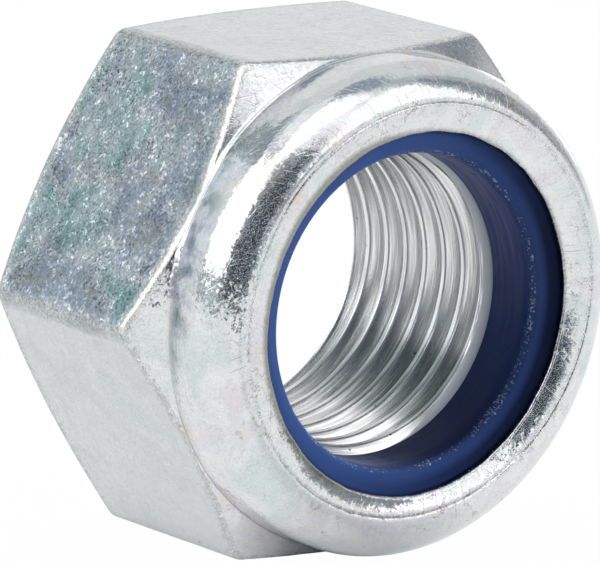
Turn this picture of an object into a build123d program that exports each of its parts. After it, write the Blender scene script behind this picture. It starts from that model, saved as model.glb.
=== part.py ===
from build123d import *
import math
import os

# Nylon insert lock nut, M16 x 1.5, lying on one flat of its hexagon.
# The thread axis is Y. The bearing face is the plane Y = 0 and looks towards +Y,
# the collar with the nylon ring points towards -Y, and +Z is up.
# All sizes are in millimetres. Heights are measured from the bearing face.

# Thread and hexagon
thread_diameter = 16.0
thread_pitch = 1.5
across_flats = 24.0
nut_height = 16.0
corner_radius = 0.35
bearing_face_margin = 0.6
bearing_chamfer_angle = 24.0
shoulder_chamfer_angle = 34.0
bearing_countersink_margin = 0.65
bearing_countersink_angle = 90.0

# Collar, turned from the same bar as the hexagon and rolled in over the ring
collar_height = 3.72
collar_wall = 1.55
collar_root_radius = 0.45
lip_roll_inset = 1.95
lip_roll_rise = 1.95
lip_face_width = 1.23
lip_dish = 0.24
lip_tip_thickness = 0.3
lip_tip_bevel = 0.12

# Pocket inside the collar
pocket_depth = 3.95
pocket_bevel_rise = 2.35
pocket_bevel_corner_rise = 1.44
pocket_bevel_corner_inset = 0.45
pocket_countersink_margin = 0.5
pocket_countersink_angle = 120.0

# Nylon ring
ring_width = 2.87
ring_squeeze = 0.47
ring_clearance = 0.02
ring_mouth_flare = 0.14
ring_mouth_drop = 1.0
ring_mouth_radius = 0.3
ring_face_sag = 0.07

# Radii that follow from the thread
minor_radius = thread_diameter / 2 - 5 / 8 * math.sqrt(3) / 2 * thread_pitch
bearing_countersink_radius = thread_diameter / 2 + bearing_countersink_margin
pocket_countersink_radius = thread_diameter / 2 + pocket_countersink_margin
ring_bore_radius = thread_diameter / 2 - ring_squeeze
pocket_radius = ring_bore_radius + ring_width
collar_radius = pocket_radius + collar_wall
lip_edge_radius = collar_radius - lip_roll_inset
lip_bore_radius = lip_edge_radius - lip_face_width

# Heights that follow from the nut's height
shoulder_height = nut_height - collar_height
pocket_floor = nut_height - pocket_depth
lip_face_inner_height = nut_height - lip_dish
lip_tip_height = lip_face_inner_height - lip_tip_thickness

# Corners of the lip's underside, which the ring's shoulder follows
bevel_start = (pocket_radius, lip_tip_height - pocket_bevel_rise)
bevel_corner = (pocket_radius - pocket_bevel_corner_inset, bevel_start[1] + pocket_bevel_corner_rise)
bevel_end = (lip_bore_radius, lip_tip_height)

# Sections are drawn as (radius, height) and stand on the half plane through the thread axis.
section_plane = Plane(origin=(0, 0, 0), x_dir=(1, 0, 0), z_dir=(0, 0, -1))
hexagon_plane = Plane(origin=(0, 0, 0), x_dir=(1, 0, 0), z_dir=(0, -1, 0))


def slope(angle):
    return math.tan(math.radians(angle))


def corner_at(sketch, radius, height):
    return sketch.vertices().sort_by_distance((radius, height, 0))[0]


def turned(section):
    return revolve(section_plane * section, Axis.Y)


# The section of the steel, from the bore out to beyond the hexagon's corners.
def body_section():
    bearing_face_radius = across_flats / 2 - bearing_face_margin
    blank_radius = across_flats / math.sqrt(3) + 1.0
    back_rise = (blank_radius - bearing_face_radius) * slope(bearing_chamfer_angle)
    front_drop = (blank_radius - collar_radius) * slope(shoulder_chamfer_angle)
    lower_sink = (bearing_countersink_radius - minor_radius) / slope(bearing_countersink_angle / 2)
    upper_sink = (pocket_countersink_radius - minor_radius) / slope(pocket_countersink_angle / 2)
    roll_start = nut_height - lip_roll_rise

    outside = Polyline(
        (bearing_countersink_radius, 0),
        (bearing_face_radius, 0),
        (blank_radius, back_rise),
        (blank_radius, shoulder_height - front_drop),
        (collar_radius, shoulder_height),
        (collar_radius, roll_start),
    )
    rolled_lip = TangentArc(
        (collar_radius, roll_start),
        (lip_edge_radius, nut_height),
        tangent=(0, 1),
    )
    inside = Polyline(
        (lip_edge_radius, nut_height),
        (lip_bore_radius, lip_face_inner_height),
        bevel_end,
        bevel_corner,
        bevel_start,
        (pocket_radius, pocket_floor),
        (pocket_countersink_radius, pocket_floor),
        (minor_radius, pocket_floor - upper_sink),
        (minor_radius, lower_sink),
        (bearing_countersink_radius, 0),
    )
    section = make_face(outside + rolled_lip + inside)
    section = fillet(corner_at(section, collar_radius, shoulder_height), collar_root_radius)
    section = chamfer(corner_at(section, lip_bore_radius, lip_face_inner_height), lip_tip_bevel)
    return section


# One piece of steel: the turned section kept inside a hexagonal bar with softened corners.
def nut_body():
    hexagon = RegularPolygon(radius=across_flats / 2, side_count=6, major_radius=False)
    hexagon = fillet(hexagon.vertices(), corner_radius)
    bar = extrude(hexagon_plane * hexagon, amount=nut_height)
    return turned(body_section()) & bar


# The ring fills the pocket, its bevelled shoulder lies under the lip,
# and its open face swells a little inside the lip's bore.
def nylon_ring():
    mouth = (ring_bore_radius + ring_mouth_flare, nut_height - ring_mouth_drop)
    rim = (bevel_end[0] - ring_clearance, bevel_end[1])
    middle = ((rim[0] + mouth[0]) / 2, (rim[1] + mouth[1]) / 2 + ring_face_sag)
    open_face = ThreePointArc(rim, middle, mouth)
    walls = Polyline(
        mouth,
        (ring_bore_radius, pocket_floor),
        (pocket_radius - ring_clearance, pocket_floor),
        (bevel_start[0] - ring_clearance, bevel_start[1]),
        (bevel_corner[0] - ring_clearance, bevel_corner[1]),
        rim,
    )
    section = make_face(open_face + walls)
    section = fillet(corner_at(section, *mouth), ring_mouth_radius)
    return turned(section)


os.makedirs("parts", exist_ok=True)
export_step(nut_body(), "parts/nut_body.step")
export_step(nylon_ring(), "parts/nylon_ring.step")
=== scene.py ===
import bpy
import bmesh
from math import asin, atan2, ceil, cos, degrees, exp, hypot, pi, radians, sin, sqrt, tan
from mathutils import Matrix, Vector, noise


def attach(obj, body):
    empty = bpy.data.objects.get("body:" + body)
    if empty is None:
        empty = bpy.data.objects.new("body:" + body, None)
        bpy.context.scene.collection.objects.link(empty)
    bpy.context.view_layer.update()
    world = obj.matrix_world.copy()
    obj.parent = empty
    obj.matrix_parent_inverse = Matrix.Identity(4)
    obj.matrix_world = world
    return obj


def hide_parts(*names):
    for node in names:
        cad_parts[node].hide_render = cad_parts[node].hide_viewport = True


# Nylon insert lock nut, M16 x 1.5. The thread axis is Y, the collar with the ring points
# to -Y, +Z is up. Sizes are in millimetres and become metres when a mesh is made.

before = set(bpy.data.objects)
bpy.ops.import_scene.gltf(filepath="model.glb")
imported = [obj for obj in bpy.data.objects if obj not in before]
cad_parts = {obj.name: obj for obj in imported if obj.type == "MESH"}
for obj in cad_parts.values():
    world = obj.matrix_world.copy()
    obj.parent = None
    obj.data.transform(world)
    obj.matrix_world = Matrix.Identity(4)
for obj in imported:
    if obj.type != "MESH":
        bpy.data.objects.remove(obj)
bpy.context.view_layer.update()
mm = 0.001
scene = bpy.context.scene


def linear(hexColour):
    # sRGB hex to the linear values Blender's sockets take
    values = [int(hexColour[i:i + 2], 16) / 255 for i in (1, 3, 5)]
    return tuple(v / 12.92 if v <= 0.04045 else ((v + 0.055) / 1.055) ** 2.4 for v in values) + (1.0,)


def addNode(tree, kind, settings=None):
    # each setting is a node option, a socket's value, or the node or socket to link from
    node = tree.nodes.new(kind)
    for key, value in (settings or {}).items():
        if key == "stops":
            stops = node.color_ramp.elements
            while len(stops) < len(value):
                stops.new(1.0)
            for stop, (place, colour) in zip(stops, value):
                stop.position, stop.color = place, linear(colour)
        elif isinstance(key, str) and hasattr(node, key):
            setattr(node, key, value)
        elif isinstance(value, bpy.types.Node):
            tree.links.new(next(o for o in value.outputs if o.enabled), node.inputs[key])
        elif isinstance(value, bpy.types.NodeSocket):
            tree.links.new(value, node.inputs[key])
        else:
            node.inputs[key].default_value = value
    return node


def addObject(name, data):
    made = bpy.data.objects.new(name, data)
    scene.collection.objects.link(made)
    return made


def mix(a, b, t):
    return a + (b - a) * t


def spread(start, end, count):
    return [mix(start, end, k / (count - 1)) for k in range(count)]


def softStep(low, high, value):
    t = min(max((value - low) / (high - low), 0.0), 1.0)
    return t * t * (3 - 2 * t)


cameraPlan = {
    "azimuth": -37.265, "elevation": 12.756, "roll": 0.957,
    "aim": (-2.456, -9.883, 0.807), "distance": 384.0,
    "lens": 486.48, "sensor": 36.0,
}


def direction(azimuth, elevation):
    # azimuth 0 looks out of the collar, 90 is to the right of it
    az, el = radians(azimuth), radians(elevation)
    return Vector((sin(az) * cos(el), -cos(az) * cos(el), sin(el)))


def placeCamera(plan):
    back = direction(plan["azimuth"], plan["elevation"])
    right = Vector((-back.y, back.x, 0)).normalized()
    up = back.cross(right)
    roll = radians(plan["roll"])
    side = right * cos(roll) + up * sin(roll)
    top = up * cos(roll) - right * sin(roll)
    pose = Matrix((side, top, back)).transposed().to_4x4()
    pose.translation = (Vector(plan["aim"]) + back * plan["distance"]) * mm
    data = bpy.data.cameras.new("camera")
    data.lens = plan["lens"]
    data.sensor_width = plan["sensor"]
    scene.camera = addObject("camera", data)
    scene.camera.matrix_world = pose


placeCamera(cameraPlan)
print("camera placed")


def newMaterial(name):
    material = bpy.data.materials.new(name)
    material.use_nodes = True
    material.node_tree.nodes.clear()
    return material, material.node_tree


# these helpers build in the tree of the first node or socket they are given
def calc(operation, *values):
    return addNode(values[0].id_data, "ShaderNodeMath", {"operation": operation, **dict(enumerate(values))})


def product(first, *others):
    for other in others:
        first = calc("MULTIPLY", first, other)
    return first


def minus(value, other):
    return calc("SUBTRACT", value, other)


def larger(value, other):
    return calc("MAXIMUM", value, other)


def timesPlus(value, factor, other):
    return calc("MULTIPLY_ADD", value, factor, other)


def vector(operation, *values):
    settings = {"operation": operation, **dict(enumerate(values))}
    node = addNode(values[0].id_data, "ShaderNodeVectorMath", settings)
    return node.outputs["Value" if operation in ("DOT_PRODUCT", "LENGTH", "DISTANCE") else "Vector"]


def distanceFrom(value, centre):
    return calc("ABSOLUTE", minus(value, centre))


def facing(turn, side):
    # 1 where the angle round the axis is this many degrees, and less to both sides
    return calc("COSINE", minus(turn, radians(side)))


def remap(value, low=0.0, high=1.0, toLow=0.0, toHigh=1.0):
    return addNode(value.id_data, "ShaderNodeMapRange", {0: value, 1: low, 2: high, 3: toLow, 4: toHigh})


def remapMm(value, span, toLow=0.0, toHigh=1.0):
    return remap(value, span[0] * mm, span[1] * mm, toLow, toHigh)


def cloud(spot, size, detail, roughness=0.5, distortion=0.0):
    # noise whose features are about this size in millimetres
    return addNode(spot.id_data, "ShaderNodeTexNoise", {
        "Vector": spot, "Scale": 1000 / size, "Detail": detail, "Roughness": roughness,
        "Distortion": distortion})


def cellsOf(spot, size):
    # cells of this size in millimetres, and three numbers drawn for each
    cells = addNode(spot.id_data, "ShaderNodeTexVoronoi", {"Vector": spot, "Scale": 1000 / size})
    return cells, addNode(spot.id_data, "ShaderNodeSeparateColor", {0: cells.outputs["Color"]}).outputs


def blend(share, colour, other, mode="MIX"):
    first, second = (linear(c) if isinstance(c, str) else c for c in (colour, other))
    return addNode(share.id_data, "ShaderNodeMix", {
        "data_type": "RGBA", "blend_type": mode, 0: share, 6: first, 7: second})


def joined(x, y, z=0.0):
    return addNode(x.id_data, "ShaderNodeCombineXYZ", {"X": x, "Y": y, "Z": z})


def objectAxes(tree):
    spot = addNode(tree, "ShaderNodeTexCoord").outputs["Object"]
    return (spot, *addNode(tree, "ShaderNodeSeparateXYZ", {0: spot}).outputs)


def axisRadius(x, z):
    return vector("LENGTH", joined(x, 0.0, z))


def closeMaterial(tree, colour, roughness, height, unit, settings):
    # the height counts in this unit, a length in metres
    bump = addNode(tree, "ShaderNodeBump", {"Strength": 1.0, "Distance": unit, "Height": height})
    surface = addNode(tree, "ShaderNodeBsdfPrincipled", {
        "Base Color": colour, "Roughness": roughness, "Normal": bump, **settings})
    addNode(tree, "ShaderNodeOutputMaterial", {"Surface": surface})


# Zinc electroplate with a clear blue passivate over cold formed steel. It gives a pale
# blue-grey metal whose fine crystal grain breaks every reflection into specks. The flats
# carry the knocks of barrel plating, the collar is smoother. Lengths are in millimetres;
# a range names the two ends of what a mask is made from.
zincShared = {
    "filmAndShadeSide": (-0.866, 0.0, 0.5), "filmReach": (11.2, 11.9), "filmWear": 0.5, "tintRange": (0.3, 0.7),
    "arcRadius": 12.5, "scratches": ((0.2, 1.5), (0.8, 1.1)), "scratchWidth": 0.09,
    "scratchRange": (0.79, 0.86), "pitRadii": (0.02, 0.07), "pitEdge": 0.03,
    "rubSize": 0.3, "crackWidth": 0.035, "crackWear": (0.05, 0.35),
    "rubbedWear": (0.7, 0.95), "rubbedCracks": 0.25,
    "outlineWear": 0.56, "outlineWidth": (0.02, 0.12), "outlineAmount": 0.55, "outlineRange": (0.5, 0.62),
    "veinWidth": 0.022, "rubbedRange": (1.13, 1.3), "rubbedAndSheen": "#ece8de", "rubbedRoughness": 0.4,
    "smudgeSize": 3.2, "smudgeRange": (0.44, 0.68), "crystalDark": "#3f464d", "lowerReach": (-0.4, 0.4),
    "poolSide": (-0.95, 0.8, 0.3), "poolReach": (0.1, 1.3), "poolEnd": (-12.9, -12.2),
    "dropSize": 1.1, "dropRange": (0.4, 0.58), "poolLeast": 0.15, "hueSize": 0.9,
    "hues": ((0.0, "#2f8a66"), (0.38, "#5f8a94"), (0.5, "#8ea0a6"), (0.62, "#8a93a8"), (1.0, "#b3a27a")),
    "tipCentre": (0.178, 0.0, -0.06), "tipShade": "#78786e", "tipShadeReach": (8.52, 8.84), "tipShadeBreak": 0.35,
    "tipShadeWider": 0.36, "tipShadeSide": (-4.0, 1.0), "tipShadeFront": (-15.5, -15.2),
    "tipUnshadedSide": (0.3, 0.0, -0.95), "tipUnshadedReach": (5.2, 7.6), "tipUnshadedLeast": 0.15,
    "rootShade": "#a9aeaa", "rootReach": (-13.1, -12.4), "rootEnd": -12.38,
    "rootBrown": "#7d6a45", "rootPlace": -12.41, "rootWidth": (0.02, 0.07),
    "rootSide": (-7.0, -2.0), "rootLeast": 0.15,
    "speckleDark": "#39403f", "mottleRange": (0.38, 0.64), "speckleRange": (0.5, 0.62),
    "mark": "#8f8572", "markSize": 2.0, "markPlace": 0.53, "markWidth": 0.012, "markArea": 2.6,
    "markRange": (0.53, 0.62), "crackDark": "#565653", "crackAmount": 0.75,
}
flatZinc = {
    **zincShared,
    "base": "#dee1e1", "smudge": "#70777b", "smudgeAmount": 0.6, "filmElsewhere": 0.12, "filmAtEdges": 0.3,
    "lowerShade": 0.93, "rootShadeAmount": 0.0, "rootLine": 0.0, "tipShadeAmount": 0.0,
    "tints": ((0.0, "#a3c6c6"), (0.3, "#d3e3e8"), (0.5, "#eef1f3"), (0.68, "#cdd8e9"), (1.0, "#dde3e2")),
    "tintSize": 3.2,
    "crystals": ((0.12, 0.26), (0.3, 0.2)), "crystalTone": 0.3, "crystalElsewhere": 0.45,
    "coarseSide": (-0.866, 0.0, 0.5), "coarseReach": (11.2, 11.9),
    "grainSize": 0.15, "grainHeight": 0.008, "speckle": (0.2, 0.95), "mottleSize": 1.5,
    "waveSize": 2.6, "waveHeight": 0.03, "roughness": (0.13, 0.24), "veins": 0.6,
    "scratchHeight": 0.008, "pitSize": 1.2, "pitDepth": 0.02, "pitShare": 0.5, "stain": 0.15,
    "edgeHeight": 0.05, "blush": 0.0,
}
collarZinc = {
    **zincShared,
    "base": "#f3f4f4", "smudge": "#b9bcbe", "smudgeAmount": 0.12, "filmElsewhere": 1.0, "filmAtEdges": 1.0,
    "lowerShade": 1.0, "rootShadeAmount": 0.28, "rootLine": 1.0, "tipShadeAmount": 0.75,
    "tints": ((0.0, "#e4edee"), (0.34, "#f1f4f4"), (0.5, "#f7f7f7"), (0.66, "#efeef5"), (1.0, "#f5efe9")),
    "tintSize": 2.8,
    "crystals": ((0.1, 0.08), (0.24, 0.085)), "crystalTone": 0.04, "crystalElsewhere": 0.35,
    "coarseSide": (-0.5, 0.0, -0.866), "coarseReach": (-3.8, 1.0),
    "grainSize": 0.16, "grainHeight": 0.003, "speckle": (0.0, 0.16), "mottleSize": 1.8,
    "waveSize": 2.4, "waveHeight": 0.02, "roughness": (0.07, 0.12), "veins": 0.08,
    "scratchHeight": 0.003, "pitSize": 1.4, "pitDepth": 0.015, "pitShare": 0.3, "stain": 0.65,
    "edgeHeight": 0.03, "blush": 0.85,
}


def zincCoat(name, plan):
    material, tree = newMaterial(name)
    spot, x, y, z = objectAxes(tree)
    worn = addNode(tree, "ShaderNodeAttribute", {"attribute_name": "wear"}).outputs["Fac"]

    def towards(side):
        return vector("DOT_PRODUCT", spot, plan[side])

    # the film dried thickest on the upper left flat, and thinnest beside the worn edges
    filmThicknessAndShade = product(
        remapMm(towards("filmAndShadeSide"), plan["filmReach"], plan["filmElsewhere"], 1.0),
        remap(worn, 0.0, plan["filmWear"], 1.0, plan["filmAtEdges"]))
    # the crystals stand out on that flat, and on the collar towards its lower left
    coarse = remapMm(towards("coarseSide"), plan["coarseReach"], plan["crystalElsewhere"], 1.0)

    # zinc crystals: each cell is a facet with its own small tilt; heights are in metres
    height, tone = None, None
    for size, tilt in plan["crystals"]:
        cells, drawn = cellsOf(spot, size)
        away = vector("SUBTRACT", spot, cells.outputs["Position"])
        lean = vector("SUBTRACT", cells.outputs["Color"], (0.5, 0.5, 0.5))
        facet = product(vector("DOT_PRODUCT", away, lean), tilt)
        height = facet if height is None else calc("ADD", height, facet)
        tone = tone or drawn[2]
    height = product(height, coarse)
    grain = cloud(spot, plan["grainSize"], 3.0, 0.75, 0.3)
    swell = cloud(spot, plan["waveSize"], 1.0)
    height = timesPlus(grain, plan["grainHeight"] * mm, height)
    height = timesPlus(swell, plan["waveHeight"] * mm, height)

    # scratches in two slants, laid out by arc length and height along the axis
    turn = calc("ARCTAN2", product(z, -1.0), product(x, -1.0))
    wrap = joined(product(turn, plan["arcRadius"] * mm), y)
    knocks = None
    for slant, length in plan["scratches"]:
        laid = addNode(tree, "ShaderNodeMapping", {
            "vector_type": "TEXTURE", "Vector": wrap, "Rotation": (0, 0, slant),
            "Scale": (length * mm, plan["scratchWidth"] * mm, mm)})
        line = addNode(tree, "ShaderNodeTexNoise", {
            "Vector": laid, "Scale": 1.0, "Detail": 0.0, "noise_dimensions": "2D"})
        line = remap(line, *plan["scratchRange"])
        knocks = line if knocks is None else larger(knocks, line)
    height = timesPlus(knocks, -plan["scratchHeight"] * mm, height)

    # pits, a share of the cells only
    cells, drawn = cellsOf(spot, plan["pitSize"])
    reach = remap(drawn[1], 0.0, 1.0, *plan["pitRadii"])
    pits = remap(minus(reach, cells.outputs["Distance"]), 0.0, plan["pitEdge"])
    pits = product(pits, calc("LESS_THAN", drawn[0], plan["pitShare"]))
    height = timesPlus(pits, -plan["pitDepth"] * mm, height)

    # rubbed and cracked edges, with a broken dark outline beside the rubbed band
    rubAndSheen = cloud(spot, plan["rubSize"], 3.0, 0.7, 1.2)
    height = timesPlus(product(rubAndSheen, worn), plan["edgeHeight"] * mm, height)
    crease = distanceFrom(rubAndSheen, 0.5)
    crack = product(
        remap(crease, 0.0, plan["crackWidth"], 1.0, 0.0), remap(worn, *plan["crackWear"]),
        remap(worn, *plan["rubbedWear"], 1.0, plan["rubbedCracks"]))
    outline = distanceFrom(worn, plan["outlineWear"])
    outline = product(
        remap(outline, *plan["outlineWidth"], plan["outlineAmount"], 0.0),
        remap(rubAndSheen, *plan["outlineRange"]))
    crack = larger(crack, outline)
    bright = remap(timesPlus(rubAndSheen, 0.5, worn), *plan["rubbedRange"])

    # dull smudges broken up by the grain
    patch = cloud(spot, plan["smudgeSize"], 6.0, 0.68)
    patch = product(remap(patch, *plan["smudgeRange"], 0.0, plan["smudgeAmount"]), filmThicknessAndShade)
    colour = blend(patch, plan["base"], plan["smudge"])
    fade = product(remap(tone, 0.0, 1.0, 0.0, plan["crystalTone"]), filmThicknessAndShade)
    colour = blend(fade, colour, plan["crystalDark"])

    # colours of the passivate film
    filmAndShade = remap(cloud(spot, plan["tintSize"], 3.0, 0.55, 0.5), *plan["tintRange"])
    filmAndShade = addNode(tree, "ShaderNodeValToRGB", {0: filmAndShade, "stops": plan["tints"]})
    colour = blend(filmThicknessAndShade, colour, filmAndShade, "MULTIPLY")
    # painted shade: the flats that face down are painted a little darker
    lower = remapMm(z, plan["lowerReach"], 1.0, 0.0)
    colour = blend(lower, colour, (plan["lowerShade"],) * 3 + (1.0,), "MULTIPLY")
    # interference colours where rinse water stood at the root of the collar, on its upper left
    drops = cloud(spot, plan["dropSize"], 3.0, 0.6)
    pool = product(
        remapMm(towards("poolSide"), plan["poolReach"]), remapMm(y, plan["poolEnd"], 1.0, 0.0),
        remap(drops, *plan["dropRange"], plan["poolLeast"], plan["blush"]))
    hue = addNode(tree, "ShaderNodeValToRGB", {
        0: cloud(spot, plan["hueSize"], 1.0), "stops": plan["hues"]})
    colour = blend(pool, colour, hue, "MULTIPLY")

    # painted shade along the inside of the lip's tip, whose circle is a little off the axis; it fades out
    # towards the lower right
    tip = vector("SUBTRACT", spot, tuple(value * mm for value in plan["tipCentre"]))
    tip = vector("LENGTH", vector("MULTIPLY", tip, (1.0, 0.0, 1.0)))
    tipShade = timesPlus(rubAndSheen, -plan["tipShadeBreak"] * mm, tip)
    tipShade = minus(tipShade, remapMm(x, plan["tipShadeSide"], plan["tipShadeWider"] * mm, 0.0))
    tipShade = product(
        remapMm(tipShade, plan["tipShadeReach"], plan["tipShadeAmount"], 0.0),
        remapMm(y, plan["tipShadeFront"], 1.0, 0.0),
        remapMm(towards("tipUnshadedSide"), plan["tipUnshadedReach"], 1.0, plan["tipUnshadedLeast"]))
    colour = blend(tipShade, colour, plan["tipShade"])
    # painted shade on the collar ahead of its root, strongest at the root, and a brown line in it
    root = product(
        remapMm(y, plan["rootReach"], 0.0, plan["rootShadeAmount"]),
        calc("LESS_THAN", y, plan["rootEnd"] * mm))
    colour = blend(root, colour, plan["rootShade"], "MULTIPLY")
    line = distanceFrom(y, plan["rootPlace"] * mm)
    line = product(
        remapMm(line, plan["rootWidth"], plan["rootLine"], 0.0), rubAndSheen,
        remapMm(z, plan["rootSide"], 1.0, plan["rootLeast"]))
    colour = blend(line, colour, plan["rootBrown"])

    # fine dark speckle between the crystals, denser in some patches
    mottle = cloud(spot, plan["mottleSize"], 3.0, 0.6)
    mottle = remap(mottle, *plan["mottleRange"], *plan["speckle"])
    speckle = product(remap(grain, *plan["speckleRange"]), mottle, filmThicknessAndShade)
    colour = blend(speckle, colour, plan["speckleDark"])
    # dried rinse marks: thin outlines in some places
    mark = distanceFrom(cloud(spot, plan["markSize"], 5.0, 0.6, 0.4), plan["markPlace"])
    where = remap(cloud(spot, plan["markArea"], 2.0), *plan["markRange"], 0.0, plan["stain"])
    mark = product(remap(mark, 0.0, plan["markWidth"], 1.0, 0.0), where)
    colour = blend(mark, colour, plan["mark"])
    veins = product(remap(crease, 0.0, plan["veinWidth"], plan["veins"], 0.0), filmThicknessAndShade)
    dark = larger(larger(crack, pits), veins)
    colour = blend(product(dark, plan["crackAmount"]), colour, plan["crackDark"])

    # rubbed edges lose the film: bright and dull
    colour = blend(bright, colour, plan["rubbedAndSheen"])
    rough = remap(patch, 0.0, 0.5, *plan["roughness"])
    rough = larger(rough, product(bright, plan["rubbedRoughness"]))
    closeMaterial(tree, colour, rough, height, 1.0, {"Metallic": 1.0})
    return material


pressedZinc = zincCoat("zincPlatedPressedFlats", flatZinc)
turnedZinc = zincCoat("zincPlatedFormedCollar", collarZinc)

# The same plating over a tapped thread: the tap leaves fine lines that follow the helix.
threadZinc = {
    "base": "#f8f8f7", "groove": "#a4aaac", "grooveDepth": 0.25, "pitch": 1.5, "major": 8.0,
    "lineSize": 0.12, "lineHeight": 0.012, "lineSpin": 0.25, "lineRange": (0.3, 0.7),
    "roughness": (0.22, 0.36), "streakRange": (0.42, 0.62), "streak": 0.5,
    "grainSize": 0.12, "grainHeight": 0.004,
    "paintedLightSide": -94.0, "paintedLightRange": (0.86, 0.97), "paintedLightLeast": 0.3,
    "pit": "#4d4a46", "pitSize": 0.8, "pitRange": (0.05, 0.09), "pitShare": 0.45,
    "filmAndShade": "#b4bcbb", "filmAndShadeSide": -47.0, "shadeBandRange": (0.925, 0.985),
    "shadeBandDepth": (-7.0, -2.0), "shadeBandDeep": 0.35, "sink": "#e2e8ea", "sinkRoughness": 0.8,
    "floor": 12.05, "sinkRadius": 8.5, "sinkSlope": 0.36, "sinkEdge": (0.01, 0.05),
}


def tappedZinc(name, plan):
    material, tree = newMaterial(name)
    spot, x, y, z = objectAxes(tree)
    turn, radius = calc("ARCTAN2", z, x), axisRadius(x, z)
    # height measured from the helix, in metres
    along = timesPlus(turn, plan["pitch"] * mm / (2 * pi), y)
    lay = joined(along, radius, product(turn, plan["lineSpin"] * mm))
    lines = cloud(lay, plan["lineSize"], 2.0, 0.6)
    grain = cloud(spot, plan["grainSize"], 2.0)
    height = product(lines, plan["lineHeight"])
    height = timesPlus(grain, plan["grainHeight"], height)
    # painted shade darkens the thread towards its roots; the streaks are the tap's lines
    grooveShade = remapMm(radius, (plan["major"] - plan["grooveDepth"], plan["major"]))
    streak = remap(lines, *plan["streakRange"], 0.0, plan["streak"])
    # painted light: at the bottom of the bore the groove darkening is mostly taken out
    paintedLight = remap(facing(turn, plan["paintedLightSide"]), *plan["paintedLightRange"], 1.0, plan["paintedLightLeast"])
    # the countersink under the ring is plain: there the radius is that of its cone
    cone = calc("DIVIDE", calc("ADD", y, plan["floor"] * mm), plan["sinkSlope"])
    cone = calc("ADD", cone, radius)
    inside = remapMm(cone, [plan["sinkRadius"] + edge for edge in plan["sinkEdge"]])
    shade = product(larger(grooveShade, streak), paintedLight, inside)
    colour = blend(shade, plan["base"], plan["groove"])
    cells, drawn = cellsOf(spot, plan["pitSize"])
    pits = remap(cells.outputs["Distance"], *plan["pitRange"], 1.0, 0.0)
    pits = product(pits, calc("LESS_THAN", drawn[0], plan["pitShare"]))
    colour = blend(pits, colour, plan["pit"])
    # painted shade darkens the lower right of the bore, more towards the ring
    filmAndShade = addNode(tree, "ShaderNodeMapRange", {
        0: facing(turn, plan["filmAndShadeSide"]), 1: plan["shadeBandRange"][0], 2: plan["shadeBandRange"][1],
        "interpolation_type": "SMOOTHSTEP"})
    filmAndShade = product(filmAndShade, remapMm(y, plan["shadeBandDepth"], 1.0, plan["shadeBandDeep"]))
    colour = blend(filmAndShade, colour, plan["filmAndShade"], "MULTIPLY")
    colour = blend(inside, plan["sink"], colour)
    rough = remap(lines, *plan["lineRange"], *plan["roughness"])
    rough = minus(rough, plan["sinkRoughness"])
    rough = timesPlus(rough, inside, plan["sinkRoughness"])
    closeMaterial(tree, colour, rough, height, mm, {"Metallic": 1.0})
    return material


cutThread = tappedZinc("zincPlatedTappedThread", threadZinc)

# Polyamide, injection moulded: a saturated blue with a soft gloss. The rolled lip has
# squeezed its mouth, which leaves pale scuffs along the edge of the bore.
nylonPlan = {
    "colour": "#375089", "shade": "#31487d", "cloudSize": 1.6, "cloudRange": (0.3, 0.7),
    "roughness": (0.26, 0.38), "specular": {"IOR": 1.53, "Specular IOR Level": 0.05},
    "grainSize": 0.14, "grainHeight": 0.003,
    "scuff": "#a9bce4", "mouthRadius": 7.64, "mouthHeight": 14.96, "scuffReach": (0.1, 0.28),
    "scuffSize": 0.13, "scuffNear": 0.16, "clusterSize": 2.2, "cluster": 0.3,
    "scuffRange": (0.86, 0.93), "scuffFaint": 0.05, "scuffHeight": 0.02, "scuffRoughness": 0.25,
    "ringSize": 0.3, "ringSpin": 0.5, "ringHeight": 0.012,
    "wall": (7.51, 7.6), "rubAndSheen": "#74749a", "sheenStreakRange": (0.4, 0.66), "sheenStreakAmount": (0.15, 0.85),
    "boreShadeSide": -42.0, "boreShadeRange": (0.5, 0.95), "boreShadeLeast": 0.1, "boreShade": 0.25,
    "paintedShadeColour": "#0e1738", "lipShadeRadii": (7.92, 8.4), "lipShadeSide": -22.0, "lipShadeRange": (-0.2, 0.8),
    "lipShadeAmount": (0.1, 0.9),
}


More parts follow.
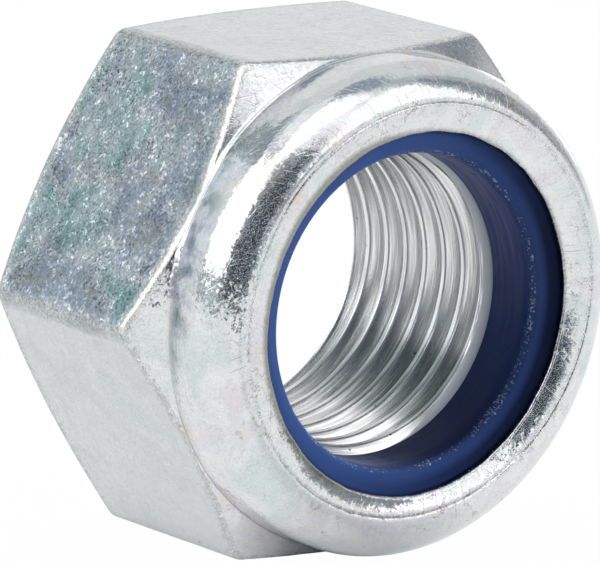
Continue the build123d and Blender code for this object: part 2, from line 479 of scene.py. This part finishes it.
def mouldedPolyamide(name, plan):
    material, tree = newMaterial(name)
    spot, x, y, z = objectAxes(tree)
    turn, radius = calc("ARCTAN2", z, x), axisRadius(x, z)
    # scuffs gather near the mouth's edge, measured in the section through the axis
    reach = vector("DISTANCE", joined(radius, y), (plan["mouthRadius"] * mm, -plan["mouthHeight"] * mm, 0))
    near = remapMm(reach, plan["scuffReach"], 1.0, 0.0)
    fleck = cloud(spot, plan["scuffSize"], 3.0, 0.65, 0.3)
    level = timesPlus(near, plan["scuffNear"], fleck)
    level = timesPlus(cloud(spot, plan["clusterSize"], 2.0), plan["cluster"], level)
    scuffs = remap(level, *plan["scuffRange"])
    scuffs = larger(scuffs, product(near, plan["scuffFaint"]))
    scuffs = product(scuffs, calc("GREATER_THAN", near, 0.0))
    # faint turned lines round the axis
    lay = joined(radius, y, product(turn, plan["ringSpin"] * mm))
    rings = cloud(lay, plan["ringSize"], 3.0, 0.6)
    shades = cloud(spot, plan["cloudSize"], 3.0)
    colour = blend(shades, plan["colour"], plan["shade"])
    # painted reflection: grey streaks along the bore wall's turned lines; painted shade darkens the wall's
    # lower right instead
    wall = remapMm(radius, plan["wall"], 1.0, 0.0)
    boreUnshaded = remap(facing(turn, plan["boreShadeSide"]), *plan["boreShadeRange"], 1.0, plan["boreShadeLeast"])
    rubbedAndSheen = product(remap(rings, *plan["sheenStreakRange"], *plan["sheenStreakAmount"]), wall, boreUnshaded)
    colour = blend(rubbedAndSheen, colour, plan["rubAndSheen"])
    boreShade = product(remap(boreUnshaded, plan["boreShadeLeast"], 1.0, plan["boreShade"], 0.0), wall)
    colour = blend(boreShade, colour, plan["paintedShadeColour"])
    # painted shade under the lip, strongest on one side
    filmThicknessAndShade = remap(facing(turn, plan["lipShadeSide"]), *plan["lipShadeRange"], *plan["lipShadeAmount"])
    colour = blend(product(remapMm(radius, plan["lipShadeRadii"]), filmThicknessAndShade), colour, plan["paintedShadeColour"])
    colour = blend(scuffs, colour, plan["scuff"])
    height = product(rings, plan["ringHeight"])
    height = timesPlus(cloud(spot, plan["grainSize"], 2.0), plan["grainHeight"], height)
    height = timesPlus(scuffs, plan["scuffHeight"], height)
    rough = remap(shades, *plan["cloudRange"], *plan["roughness"])
    rough = timesPlus(scuffs, plan["scuffRoughness"], rough)
    closeMaterial(tree, colour, rough, height, mm, plan["specular"])
    return material


mouldedNylon = mouldedPolyamide("mouldedBlueNylon", nylonPlan)
print("materials made")

# nut body: hexagon, chamfers, collar and rolled lip
nutPlan = {
    "acrossFlats": 24.0, "height": 16.0, "cornerRadius": 0.7, "columnsPerSide": 60,
    "cornerTurns": (0.0, 7.5, 15.0, 22.5),
    "bearingFaceRadius": 11.4, "bearingCountersink": 8.65, "bearingSlope": 24.0,
    "bearingRows": (8.72, 9.0, 9.6, 10.4, 11.0, 11.3, 11.36), "bearingTurnDown": 0.05,
    "bearingEdge": (0.005, 0.004), "backRows": (0.25, 0.6, 0.9), "edgeRows": (0, 0.25, 0.5, 0.75, 1),
    "flatRows": (0.008, 0.025, 0.05, *spread(0.085, 0.915, 20), 0.95, 0.975, 0.992),
    "frontRows": (0.04, 0.15, 0.35, 0.6, 0.85, 1),
    "rootRows": (0.12, 0.25, 0.36, 0.44, 0.5, 0.56, 0.64, 0.75, 0.88, 1),
    "wallRows": (0.08, 0.35, 0.7, 1), "wallEvenness": 0.5, "rollSteps": 18, "evenSteps": 8,
    "collarRadius": 11.95, "shoulderHeight": 12.28, "shoulderSlope": 34.0, "rootRadius": 0.45,
    "rootRidge": 0.02, "rootRidgeWidth": 0.1,
    "rollStart": 14.05, "lipEdge": 10.11, "lipEdgeWave": (0.161, 0.230, 0.154, 0.127), "lipDrop": 0.02,
    "lipBore": 8.763, "lipBoreWave": (0.178, -0.06, 0.036, 0.023), "lipBoreRagged": 0.05, "raggedGrain": 9,
    "lipFaceInner": 15.7, "lipFaceCurve": 1.9, "tipRadius": 0.12, "tipSteps": 4,
    "faceRows": (0.12, 0.25, 0.38, 0.5, 0.62, 0.74, 0.86, 1),
    "stepDepth": 0.07, "stepLeast": 0.12, "stepGain": 1.6, "stepSides": ((98, 48), (275, 42)),
    "stepRows": ((0.03, 0.1), (0.06, 1.0), (0.09, 0.3), (0.14, 0.1)),
    "bevel": ((8.77, 15.46), (9.95, 14.55), (10.4, 13.11)),
    "pocket": ((10.4, 12.05), (9.4, 12.05), (8.5, 12.05)),
    "edgeRadius": 0.3, "edgeWear": 0.035, "backWear": 0.65, "edgeWearReach": 0.45, "flatLength": 11,
    "cornerWear": 0.6, "cornerWearReach": 0.5, "cornerDistance": 13.4, "hardHitSide": (150, 30.5),
    "softerHit": 0.6,
}


def slope(angle):
    return tan(radians(angle))


def wave(angle, base, parts):
    # a radius that is not quite round: first and second order round the axis
    return (base + parts[0] * cos(angle) + parts[1] * sin(angle)
            + parts[2] * cos(2 * angle) + parts[3] * sin(2 * angle))


def hexColumns(plan):
    # (angle, distance) of the hexagon's outline, with more columns round each corner
    half, soft = plan["acrossFlats"] / 2, plan["cornerRadius"]
    centre = (half - soft) / cos(radians(30))
    points = []
    for turn in plan["cornerTurns"]:
        points.append((centre + soft * cos(radians(turn)), soft * sin(radians(turn))))
    corner = [(atan2(z, x), hypot(x, z)) for x, z in points]
    turn = radians(30)
    first = atan2(soft * sin(turn), centre + soft * cos(turn))
    last = radians(60) - first
    flat = [(a, half / cos(a - radians(30)))
            for a in spread(first, last, plan["columnsPerSide"] - 2 * len(corner) + 1)]
    closing = [(radians(60) - a, r) for a, r in reversed(corner[1:])]
    side = corner + flat + closing
    return [(a + radians(60 * k), r) for k in range(6) for a, r in side]


def nutRings(plan):
    # rows of (angle, radius, height, wear) from the bearing face over the outside to the pocket
    columns = hexColumns(plan)
    even = [2 * pi * i / len(columns) for i in range(len(columns))]
    height, collar, root = plan["height"], plan["collarRadius"], plan["rootRadius"]
    backTan, frontTan = slope(plan["bearingSlope"]), slope(plan["shoulderSlope"])
    faceRadius, edge = plan["bearingFaceRadius"], plan["edgeRadius"]
    faceInner, tip = plan["lipFaceInner"], plan["tipRadius"]
    frontAngle = radians(plan["shoulderSlope"])
    rootCentre = (collar + root, plan["shoulderHeight"] - root * frontTan + root / cos(frontAngle))
    rootTouch = rootCentre[0] - root * sin(frontAngle)
    rings, bands = [], []

    def addRing(band, evenness, rule, wear=0.0, cornerWear=0.0, front=False):
        row = []
        for i, (angle, outline) in enumerate(columns):
            turned = mix(angle, even[i], evenness)
            radius, rise = rule(turned, outline)
            fold = abs((degrees(angle) + 30) % 60 - 30)
            nearCorner = 1 - radians(fold) * plan["cornerDistance"] / plan["cornerWearReach"]
            nearCorner = max(0.0, nearCorner) * cornerWear
            # the upper left flat's front edge has taken the most knocks
            side, reach = plan["hardHitSide"]
            hardHit = not front or abs(degrees(angle) % 360 - side) < reach
            wearHere = wear * (1.0 if hardHit else plan["softerHit"])
            row.append((turned, radius, rise, max(wearHere, nearCorner)))
        rings.append(row)
        bands.append(band)

    def frontHeight(radius):
        if radius > rootTouch:
            return plan["shoulderHeight"] - (radius - collar) * frontTan
        return rootCentre[1] - sqrt(max(root ** 2 - (rootCentre[0] - radius) ** 2, 0))

    def frontSlope(radius):
        if radius > rootTouch:
            return frontAngle
        return asin(min((rootCentre[0] - radius) / root, 1.0))

    def edgeCurve(p0, p1, p2, t):
        return tuple((1 - t) ** 2 * a + 2 * t * (1 - t) * b + t ** 2 * c for a, b, c in zip(p0, p1, p2))

    def lipEdge(a):
        return wave(a, plan["lipEdge"], plan["lipEdgeWave"])

    def lipBore(a):
        ragged = noise.noise(Vector((cos(a), sin(a), 0.3)) * plan["raggedGrain"])
        return wave(a, plan["lipBore"], plan["lipBoreWave"]) + plan["lipBoreRagged"] * ragged

    # bearing face
    sink, down = plan["bearingCountersink"], plan["bearingTurnDown"]
    for r in (sink,) + plan["bearingRows"]:
        addRing(1, 1 - (r - sink) / (faceRadius - sink), lambda a, o: (r, 0.0))
    wide, rise = plan["bearingEdge"]
    addRing(1, 0.01, lambda a, o: (faceRadius + wide, rise), wear=0.4)
    addRing(1, 0, lambda a, o: (faceRadius + down, down * backTan), wear=0.3)
    # back chamfer, its edge, the flat, the front edge
    backReach = edge * tan(radians((90 - plan["bearingSlope"]) / 2))

    def backPoint(o, t):
        top = (o - faceRadius) * backTan
        inner = (o - backReach * cos(radians(plan["bearingSlope"])),
                 top - backReach * sin(radians(plan["bearingSlope"])))
        return edgeCurve(inner, (o, top), (o, top + backReach), t)

    for t in plan["backRows"]:
        addRing(1, 0, lambda a, o: (mix(faceRadius + down, backPoint(o, 0)[0], t),
                                         mix(down * backTan, backPoint(o, 0)[1], t)),
                wear=0.5 if t > 0.8 else 0.0)
    for t in plan["edgeRows"]:
        addRing(1 if t < 0.4 else 0, 0, lambda a, o: backPoint(o, t), wear=plan["backWear"])

    def frontPoint(o, t):
        top, lean = frontHeight(o), frontSlope(o)
        reach = edge * tan((pi / 2 - lean) / 2)
        inner = o - reach * cos(lean)
        return edgeCurve((o, top - reach), (o, top), (inner, frontHeight(inner)), t)

    def flatPoint(o, t):
        return o, mix(backPoint(o, 1)[1], frontPoint(o, 0)[1], t)

    for t in plan["flatRows"]:
        nearEdge = max(0.0, 1 - min(t, 1 - t) * plan["flatLength"] / plan["edgeWearReach"])
        nearEdge *= 1.0 if t > 0.5 else plan["backWear"]
        addRing(0, 0, lambda a, o: flatPoint(o, t), nearEdge, plan["cornerWear"], front=t > 0.5)
    for t in plan["edgeRows"]:
        addRing(0 if t < 0.6 else 1, 0, lambda a, o: frontPoint(o, t), wear=1.0, front=True)
    # front chamfer, root fillet
    for t in plan["frontRows"]:
        def conePoint(a, o):
            start = frontPoint(o, 1)[0]
            r = mix(start, min(start, rootTouch), t)
            return r, frontHeight(r)
        addRing(1, 0, conePoint, wear=max(0.0, 0.8 - t * 4), front=True)
    for t in plan["rootRows"]:
        def rootPoint(a, o):
            start = frontSlope(min(frontPoint(o, 1)[0], rootTouch))
            lean = mix(start, pi / 2, t)
            reach = root - plan["rootRidge"] * exp(-((t - 0.5) / plan["rootRidgeWidth"]) ** 2)
            return rootCentre[0] - reach * sin(lean), rootCentre[1] - reach * cos(lean)
        addRing(1, 0, rootPoint)
    # collar wall and roll
    evenness, steps = plan["wallEvenness"], plan["rollSteps"]
    for t in plan["wallRows"]:
        addRing(1, t * evenness, lambda a, o: (collar, mix(rootCentre[1], plan["rollStart"], t)))
    for k in range(1, steps + 1):
        turn = pi / 2 * k / steps
        addRing(1, mix(evenness, 1, min(k / plan["evenSteps"], 1)), lambda a, o: (
            collar - (collar - lipEdge(a)) * (1 - cos(turn)),
            plan["rollStart"] + (height - plan["rollStart"]) * sin(turn)),
            wear=0.35 if k == steps else 0.0)

    def stepDepth(a):
        # the step left by the rolling tool shows at the top and at the bottom only
        turn = degrees(a) % 360
        shown = max(max(0.0, 1 - abs(turn - side) / reach) for side, reach in plan["stepSides"])
        return plan["stepDepth"] * (plan["stepLeast"] + min(1.0, plan["stepGain"] * shown))

    # step, lip face, tip
    for inset, share in plan["stepRows"]:
        addRing(1, 1, lambda a, o: (
            lipEdge(a) - inset, height - plan["lipDrop"] - stepDepth(a) * share), wear=0.4)
    inset, share = plan["stepRows"][-1]
    for t in plan["faceRows"]:
        addRing(1, 1, lambda a, o: (
            mix(lipEdge(a) - inset, lipBore(a) + tip, t),
            mix(height - plan["lipDrop"] - stepDepth(a) * share * (1 - t),
                faceInner, t ** plan["lipFaceCurve"])))
    for k in range(1, plan["tipSteps"] + 1):
        turn = pi / 2 * k / plan["tipSteps"]
        addRing(1, 1, lambda a, o: (
            lipBore(a) + tip * (1 - sin(turn)), faceInner - tip * (1 - cos(turn))), wear=0.7)
    # underside of the lip and the pocket that holds the ring
    addRing(1, 1, lambda a, o: (lipBore(a), plan["bevel"][0][1]))
    for r, h in plan["bevel"][1:] + plan["pocket"]:
        addRing(1, 1, lambda a, o: (r, h))
    return rings, bands


def pointAt(angle, radius, height):
    return Vector((radius * cos(angle), -height, radius * sin(angle))) * mm


dentPlan = {"coarse": 900, "fine": 2600, "fineShare": 0.35, "least": 0.05}


def knocked(angle, radius, height, wear, depth):
    # edges are dented inwards only, so the part keeps its outer sizes
    point = pointAt(angle, radius, height)
    if wear <= 0:
        return point
    fine = dentPlan["fineShare"] * noise.noise(point * dentPlan["fine"])
    dent = max(0.0, noise.noise(point * dentPlan["coarse"]) + fine - dentPlan["least"])
    return pointAt(angle, radius - depth * wear * dent, height)


def shellFromRings(name, rings, bands, materials, depth=0.0):
    build = bmesh.new()
    wearLayer = build.verts.layers.float.new("wear")
    rows = []
    for ring in rings:
        row = []
        for a, r, h, wear in ring:
            vertex = build.verts.new(knocked(a, r, h, wear, depth))
            vertex[wearLayer] = wear
            row.append(vertex)
        rows.append(row)
    count = len(rings[0])
    for k in range(len(rows) - 1):
        for i in range(count):
            j = (i + 1) % count
            face = build.faces.new((rows[k][i], rows[k][j], rows[k + 1][j], rows[k + 1][i]))
            face.material_index = bands[k + 1] if bands[k + 1] == bands[k] else 1
            face.smooth = True
    mesh = bpy.data.meshes.new(name)
    build.to_mesh(mesh)
    build.free()
    for material in materials:
        mesh.materials.append(material)
    return addObject(name, mesh)


def closeShell(piece, build, gap):
    # merges the seams, and counts what stays open
    bmesh.ops.remove_doubles(build, verts=build.verts, dist=gap)
    bmesh.ops.dissolve_degenerate(build, edges=build.edges, dist=1e-8)
    bmesh.ops.recalc_face_normals(build, faces=build.faces)
    print(piece.name, "open edges", sum(1 for e in build.edges if len(e.link_faces) != 2),
          "triangles", sum(len(f.verts) - 2 for f in build.faces))
    build.to_mesh(piece.data)
    build.free()
    piece.data.set_sharp_from_angle(angle=radians(50))


# thread: Geometry Nodes, because it follows the helix rule
threadPlan = {
    "Columns": 360, "Rows per pitch": 20, "Pitch": 1.5, "Minor radius": 7.188, "Major radius": 8.0,
    "Crest width": 0.36, "Flank slope": 1.732, "Softness": 0.14, "Phase": -0.415, "Sink softness": 0.06,
    "Bearing sink": 8.65, "Bearing slope": 1.0,
    "Pocket floor": 12.05, "Pocket sink": 8.5, "Pocket slope": 0.36,
}


def threadTree(material):
    tree = bpy.data.node_groups.new("helicalThread", "GeometryNodeTree")
    sockets = {}
    for label, value in threadPlan.items():
        kind = "NodeSocketInt" if isinstance(value, int) else "NodeSocketFloat"
        sockets[label] = tree.interface.new_socket(name=label, in_out="INPUT", socket_type=kind).identifier
    tree.interface.new_socket(name="Geometry", in_out="OUTPUT", socket_type="NodeSocketGeometry")
    given = addNode(tree, "NodeGroupInput").outputs
    pitch, phase, rows = given["Pitch"], given["Phase"], given["Rows per pitch"]
    floor, minor, soft = given["Pocket floor"], given["Minor radius"], given["Softness"]

    # a flat sheet, one unit each way: x goes round the axis, y along it
    span = calc("ADD", calc("DIVIDE", floor, pitch), 2.0)
    steps = calc("CEIL", product(span, rows))
    sheet = addNode(tree, "GeometryNodeMeshGrid", {
        "Size X": 1.0, "Size Y": 1.0, "Vertices X": calc("ADD", given["Columns"], 1.0),
        "Vertices Y": calc("ADD", steps, 1.0)})
    spot = addNode(tree, "ShaderNodeSeparateXYZ", {0: addNode(tree, "GeometryNodeInputPosition")}).outputs
    turns = calc("ADD", spot["X"], 0.5)
    along = product(calc("ADD", spot["Y"], 0.5), calc("DIVIDE", steps, rows))
    # rows lean by one pitch a turn, so that each keeps its place on the thread's profile
    lean = calc("ADD", minus(along, 1.0), turns)
    rise = larger(timesPlus(lean, pitch, phase), 0.0)
    rise = calc("MINIMUM", rise, floor)
    # distance along the axis from the nearest crest; whole pitches keep the fraction positive
    offset = minus(rise, timesPlus(turns, pitch, phase))
    offset = calc("FRACT", calc("ADD", calc("DIVIDE", offset, pitch), 100.5))
    offset = product(distanceFrom(offset, 0.5), pitch)
    flank = minus(offset, product(given["Crest width"], 0.5))
    flank = timesPlus(flank, given["Flank slope"], minor)
    ridge = calc("SMOOTH_MAX", flank, minor, soft)
    groove = calc("SMOOTH_MIN", ridge, given["Major radius"], soft)
    # countersinks at both ends
    lower = minus(given["Bearing sink"], product(rise, given["Bearing slope"]))
    upper = calc("DIVIDE", minus(floor, rise), given["Pocket slope"])
    upper = minus(given["Pocket sink"], upper)
    sunk = larger(lower, upper)
    radius = product(calc("SMOOTH_MAX", groove, sunk, given["Sink softness"]), mm)
    angle = product(turns, 2 * pi)
    spotOut = joined(
        product(radius, calc("COSINE", angle)), product(rise, -mm),
        product(radius, calc("SINE", angle)))
    bent = addNode(tree, "GeometryNodeSetPosition", {"Geometry": sheet, "Position": spotOut})
    merged = addNode(tree, "GeometryNodeMergeByDistance", {"Geometry": bent, "Distance": 1e-6})
    smooth = addNode(tree, "GeometryNodeSetShadeSmooth", {"Geometry": merged})
    real = addNode(tree, "GeometryNodeRealizeInstances", {"Geometry": smooth})
    dressed = addNode(tree, "GeometryNodeSetMaterial", {"Geometry": real, "Material": material})
    addNode(tree, "NodeGroupOutput", {"Geometry": dressed})
    return tree, sockets


def threadMesh(material):
    tree, sockets = threadTree(material)
    holder = addObject("threadSheet", bpy.data.meshes.new("threadSheet"))
    modifier = holder.modifiers.new("helicalThread", "NODES")
    modifier.node_group = tree
    for label, value in threadPlan.items():
        modifier[sockets[label]] = value
    holder.update_tag()
    bpy.context.view_layer.update()
    mesh = bpy.data.meshes.new_from_object(holder.evaluated_get(bpy.context.evaluated_depsgraph_get()))
    holder.modifiers.clear()
    bpy.data.objects.remove(holder)
    return mesh


def joinThread(piece, thread):
    # the thread's two end circles have the shell's own columns, so the joint closes by merging
    build = bmesh.new()
    build.from_mesh(piece.data)
    own = len(build.faces)
    build.from_mesh(thread)
    build.faces.ensure_lookup_table()
    for face in build.faces[own:]:
        face.material_index = 2
        face.smooth = True
    closeShell(piece, build, 2e-6)


rings, bands = nutRings(nutPlan)
nutPiece = shellFromRings(
    "nutBody", rings, bands, [pressedZinc, turnedZinc, cutThread], nutPlan["edgeWear"])
joinThread(nutPiece, threadMesh(cutThread))
# the thread stays smooth
rounded = {key for face in nutPiece.data.polygons if face.material_index == 2 for key in face.edge_keys}
for edge in nutPiece.data.edges:
    if edge.key in rounded:
        edge.use_edge_sharp = False
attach(nutPiece, "root")
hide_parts("nut_body")
print("nut body made")

# nylon ring, squeezed in at its mouth by the lip
ringPlan = {
    "bore": ((7.5, 12.05), (7.5, 12.3), (7.5, 13.0), (7.5, 13.6), (7.5, 14.0), (7.505, 14.3), (7.52, 14.5),
             (7.545, 14.66)),
    "mouth": ((7.575, 14.78), (7.615, 14.88), (7.665, 14.965), (7.725, 15.035), (7.8, 15.09)),
    "face": ((7.9, 15.145), (8.02, 15.197), (8.15, 15.243), (8.3, 15.287), (8.45, 15.325), (8.58, 15.35),
             (8.68, 15.36), (8.76, 15.345), (8.86, 15.28), (9.0, 15.17)),
    "shoulder": ((9.93, 14.53), (10.38, 13.11), (10.38, 12.05), (9.0, 12.05)),
    "faceBlend": 0.8,
}


def ringRings(plan):
    # the face follows the lip's slightly uneven mouth
    rows = []
    for part in ("bore", "mouth", "face", "shoulder"):
        for r, h in plan[part]:
            row = []
            for i in range(360):
                angle = radians(i)
                shift = wave(angle, nutPlan["lipBore"], nutPlan["lipBoreWave"]) - nutPlan["lipBore"]
                share = min(1.0, (r - plan["face"][0][0]) / plan["faceBlend"]) if part == "face" else 0.0
                row.append((angle, r + shift * share, h, 0.0))
            rows.append(row)
    return rows


ringRows = ringRings(ringPlan)
ringRows.append(ringRows[0])
ringPiece = shellFromRings("nylonRing", ringRows, [0] * len(ringRows), [mouldedNylon])
build = bmesh.new()
build.from_mesh(ringPiece.data)
closeShell(ringPiece, build, 1e-6)
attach(ringPiece, "root")
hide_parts("nylon_ring")
print("nylon ring made")

# Studio: a pale floor, a white surround, and softboxes and grey screens that the metal
# shows. Each screen: outline as (azimuth, elevation) in degrees, colour at its foot and at
# its top, glow, feather in degrees, distance in metres. A nearer one covers a farther one.
studioScreens = {
    "rearLeftWall": (((-174, 0), (-132, 0), (-132, 62), (-174, 62)),
        "#e8f0f5", "#e8f0f5", 1.0, 3.0, 0.80),
    "rearLeftRail": (((-177, 37), (-163, 35), (-146, 43), (-130, 49), (-122, 59), (-177, 59)),
        "#8b989f", "#8b98a2", 1.0, 2.5, 0.79),
    "rightWall": (((42, 0), (96, 0), (182, 0), (182, 82), (36, 82)),
        "#e6e6e6", "#dfe1e2", 1.0, 4.0, 0.80),
    "backCurtain": (((136, 0), (162, 0), (170, 30), (172, 41), (154, 41), (148, 28), (136, 28)),
        "#f4f4f4", "#f2f2f3", 1.0, 4.0, 0.79),
    "rightScreen": (((46, -1), (60, -3), (84, -3), (86, 30), (74, 52), (54, 76), (42, 76), (44, 20)),
        "#aeb3b2", "#b9c2c8", 1.0, 6.0, 0.75),
    "rightScreenEdge": (((49, 0), (60, 0), (66, 32), (62, 46), (52, 46), (50, 16)),
        "#879096", "#7f8b99", 1.0, 4.5, 0.70),
    "leftSoftbox": (((-132, 12), (-76, 12), (-62, 14), (-53, 25), (-44, 38), (-46, 50), (-60, 58),
         (-116, 58), (-130, 44)),
        "#ffffff", "#ffffff", 2.4, 2.5, 0.70),
    "leftPlinth": (((-134, 0), (-58, 0), (-58, 10), (-134, 10)), "#a2adb4", "#b4bec4", 1.0, 1.6, 0.69),
    "overheadGap": (((-180, 60), (-60, 60), (-60, 67), (-180, 67)), "#c3cdd2", "#cdd5d8", 1.0, 2.5, 0.68),
    "overheadBox": (((-52, 50), (-30, 50), (-14, 47), (0, 43), (26, 46), (26, 84), (-52, 84)),
        "#ffffff", "#ffffff", 1.6, 3.0, 0.66),
    "roofRail": (((38, 60), (66, 62), (130, 70), (150, 80), (120, 88), (36, 88)),
        "#9aa3b2", "#929eab", 1.0, 4.0, 0.64),
    "topCornerShade": (((69, 21), (80, 21), (80, 30), (70, 32)), "#7e8992", "#8e9aa4", 1.0, 3.0, 0.66),
    "frontFill": (((-2, 39), (6, 27), (12, 12), (22, 8), (24, 40), (8, 46)),
        "#f4f5f6", "#ffffff", 1.2, 2.5, 0.65),
    "haloScreen": (((-10, 37), (0, 32), (7, 26), (13, 15), (20, 6), (30, -7), (-10, -7)),
        "#9aa4af", "#a4b1bf", 1.0, 2.5, 0.64),
    "smallBox": (((22, 0), (43, 0), (46, 24), (45, 41), (29, 43), (20, 32)),
        "#ffffff", "#ffffff", 1.5, 1.0, 0.62),
    "frontScreen": (((-66, 3), (-58, 10), (-51, 24), (-42, 36), (-33, 46), (-18, 44), (-5, 35), (9, 25),
         (15, 13), (16, 3), (13, -5), (7, -6), (-18, -5), (-24, -1)),
        "#56616c", "#8a9299", 1.0, 3.0, 0.60),
    "darkDoorway": (((-54, 3), (-46, 14), (-32, 26), (-12, 30), (5, 25), (11, 15), (12, 4), (11, -3),
         (-17, -3), (-23, 1)),
        "#2e363f", "#4a5663", 1.0, 4.0, 0.58),
    "rightWindow": (((101, 0), (136, 0), (132, 6), (122, 14), (104, 14)),
        "#ffffff", "#ffffff", 1.8, 3.0, 0.70),
}

floorPlan = {
    "height": -12.01, "half": 2000.0, "colour": "#f4f4f4", "cameraWhite": 0.985, "glossyWhite": 0.92,
    "shadeCentre": (-3.2, -8.0), "shadeHalf": 4.2, "shadeReach": (0.8, 4.5),
    "lineCentre": -1.0, "lineReach": (0.5, 8), "lineLeast": 0.3,
}


def edgeDistance(point, outline):
    # distance to the outline in degrees, positive inside
    x, y = point
    nearest, inside = 1e9, False
    for (x1, y1), (x2, y2) in zip(outline, outline[1:] + outline[:1]):
        dx, dy = x2 - x1, y2 - y1
        t = min(max(((x - x1) * dx + (y - y1) * dy) / (dx * dx + dy * dy), 0.0), 1.0)
        nearest = min(nearest, hypot(x - x1 - t * dx, y - y1 - t * dy))
        if (y1 > y) != (y2 > y) and x < x1 + (y - y1) * dx / dy:
            inside = not inside
    return nearest if inside else -nearest


def screenMaterial():
    material, tree = newMaterial("screenFabric")
    glow = addNode(tree, "ShaderNodeAttribute", {"attribute_name": "glow"}).outputs["Color"]
    cover = addNode(tree, "ShaderNodeAttribute", {"attribute_name": "cover"}).outputs["Fac"]
    light = addNode(tree, "ShaderNodeEmission", {"Color": glow, "Strength": 1.0})
    clear = addNode(tree, "ShaderNodeBsdfTransparent")
    both = addNode(tree, "ShaderNodeMixShader", {0: cover, 1: clear, 2: light})
    addNode(tree, "ShaderNodeOutputMaterial", {"Surface": both})
    material.cycles.emission_sampling = "NONE"
    return material


hanging = {"highest": 88, "stack": 0.9}


def addScreen(name, plan, material):
    outline, lowColour, highColour, glow, feather, distance = plan
    west, east = (f(p[0] for p in outline) for f in (min, max))
    south, north = (f(p[1] for p in outline) for f in (min, max))
    west, east, north = west - feather, east + feather, min(north + feather, hanging["highest"])
    step = max(feather / 2, 1.0)
    across, rise = ceil((east - west) / step) + 1, ceil((north - south) / step) + 1
    floorLevel = floorPlan["height"] + (hanging["stack"] - distance)
    points, covers, glows = [], [], []
    low, high = linear(lowColour), linear(highColour)
    for el in spread(south, north, rise):
        for az in spread(west, east, across):
            ray = direction(az, el)
            # below the horizon the card lies on the floor, the nearest on top
            reach = min(distance, floorLevel * mm / ray.z) if ray.z < 0 else distance
            points.append(ray * reach)
            covers.append(softStep(-feather, feather, edgeDistance((az, el), outline)))
            t = softStep(south, north, el)
            glows += [mix(a, b, t) * glow for a, b in zip(low[:3], high[:3])] + [1.0]
    faces = [(k, k + 1, k + 1 + across, k + across) for j in range(rise - 1)
             for k in range(j * across, j * across + across - 1)]
    mesh = bpy.data.meshes.new(name)
    mesh.from_pydata(points, [], faces)
    mesh.attributes.new("cover", "FLOAT", "POINT").data.foreach_set("value", covers)
    mesh.attributes.new("glow", "FLOAT_COLOR", "POINT").data.foreach_set("color", glows)
    mesh.materials.append(material)
    screen = addObject(name, mesh)
    screen.visible_camera = screen.visible_diffuse = screen.visible_shadow = False
    screen.visible_transmission = screen.visible_volume_scatter = False


fabric = screenMaterial()
for name, plan in studioScreens.items():
    addScreen(name, plan, fabric)
print("screens hung")


def addFloor(plan):
    half, level = plan["half"] * mm, plan["height"] * mm
    mesh = bpy.data.meshes.new("floor")
    corners = [(-half, -half, level), (half, -half, level), (half, half, level), (-half, half, level)]
    mesh.from_pydata(corners, [], [(0, 1, 2, 3)])
    floor = addObject("floor", mesh)
    material, tree = newMaterial("paleFloor")
    path = addNode(tree, "ShaderNodeLightPath")
    # painted shadow for the metal's reflections: the floor darkens close under the nut, about its flat and
    # along its lowest line
    _, x, y, _ = objectAxes(tree)
    aside = minus(x, plan["shadeCentre"][0] * mm)
    beyond = minus(distanceFrom(y, plan["shadeCentre"][1] * mm), plan["shadeHalf"] * mm)
    away = vector("LENGTH", joined(aside, larger(beyond, 0.0)))
    away = remapMm(away, plan["shadeReach"], 0.0, plan["glossyWhite"])
    under = distanceFrom(x, plan["lineCentre"] * mm)
    under = remapMm(under, plan["lineReach"], plan["lineLeast"], 1.0)
    share = product(path.outputs["Is Glossy Ray"], product(away, under))
    for ray in ("Is Camera Ray", "Is Transmission Ray"):
        share = timesPlus(path.outputs[ray], plan["cameraWhite"], share)
    paper = addNode(tree, "ShaderNodeBsdfDiffuse", {"Color": linear(plan["colour"])})
    white = addNode(tree, "ShaderNodeEmission", {"Color": (1, 1, 1, 1), "Strength": 1.0})
    both = addNode(tree, "ShaderNodeMixShader", {0: share, 1: paper, 2: white})
    addNode(tree, "ShaderNodeOutputMaterial", {"Surface": both})
    material.cycles.emission_sampling = "NONE"
    mesh.materials.append(material)


addFloor(floorPlan)

lampPlan = {
    "overhead": {"azimuth": 180, "elevation": 75, "distance": 0.7, "size": 0.45, "power": 2.8},
    "side": {"azimuth": 62, "elevation": 8, "distance": 0.6, "size": 0.25, "power": 4.9},
}
for name, plan in lampPlan.items():
    data = bpy.data.lights.new(name, "AREA")
    data.size = plan["size"]
    data.energy = plan["power"]
    lamp = addObject(name, data)
    back = direction(plan["azimuth"], plan["elevation"])
    lamp.location = back * plan["distance"]
    lamp.rotation_euler = back.to_track_quat("Z", "Y").to_euler()
    lamp.visible_glossy = False

skyLight = 0.07
world = bpy.data.worlds.new("studio")
scene.world = world
world.use_nodes = True
world.node_tree.nodes.clear()
rays = addNode(world.node_tree, "ShaderNodeLightPath").outputs
seen = larger(rays["Is Camera Ray"], rays["Is Glossy Ray"])
seen = larger(seen, rays["Is Transmission Ray"])
# what lights the nut softly is dimmer than what is seen
level = remap(seen, 0.0, 1.0, skyLight, 1.0)
sky = addNode(world.node_tree, "ShaderNodeBackground", {"Color": (1, 1, 1, 1), "Strength": level})
addNode(world.node_tree, "ShaderNodeOutputWorld", {"Surface": sky})
world.cycles.sampling_method = "NONE"
print("studio lit")

scene.view_settings.view_transform = "Standard"
